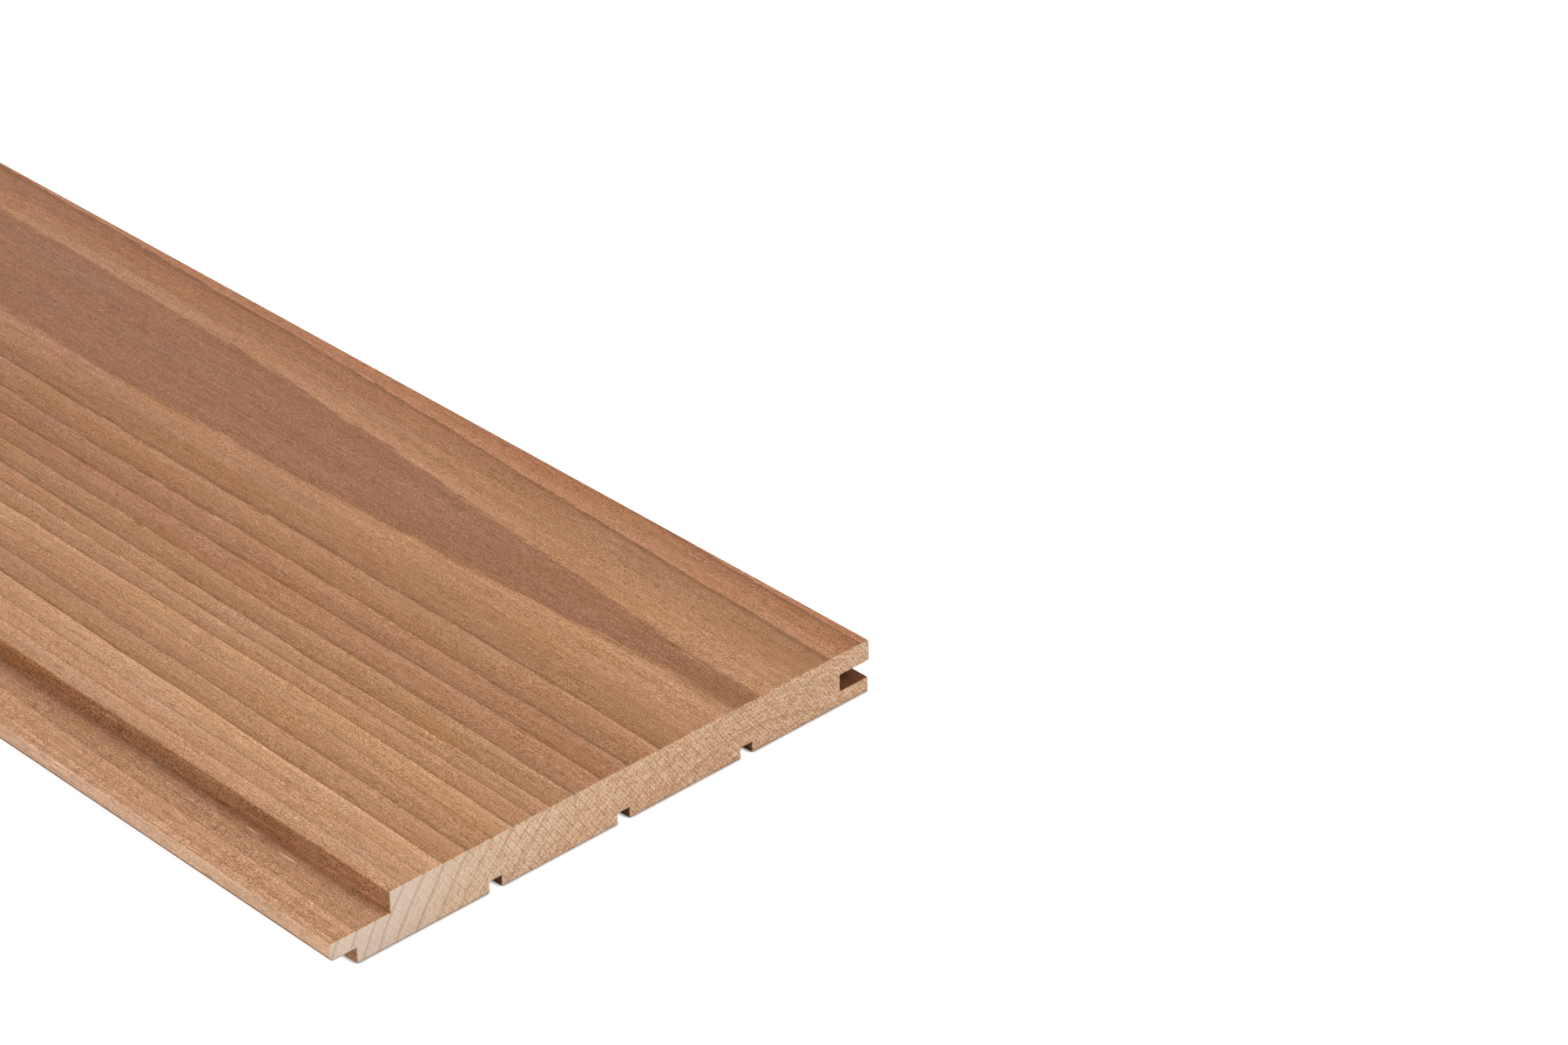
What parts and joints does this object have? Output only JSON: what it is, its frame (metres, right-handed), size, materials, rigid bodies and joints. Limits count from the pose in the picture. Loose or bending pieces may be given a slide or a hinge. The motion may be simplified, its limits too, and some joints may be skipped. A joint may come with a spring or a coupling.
{
  "type": "heat-treated wood panelling board",
  "caption": "Flat wall panelling board with a tongue, a wide shadow-gap rebate, a groove and relief grooves along its back.",
  "frame": {"origin": "middle of the board's footprint, on the floor that its back lies on", "axes": "+X along the grain and the board's length, +Y across the face from the tongue to the groove, +Z out of the face"},
  "size_m": [2.1, 0.175, 0.015],
  "materials": {
    "heat_treated_wood": "planed, satin"
  },
  "bodies": {
    "root": {"panel_board": "heat_treated_wood"}
  },
  "joints": []
}
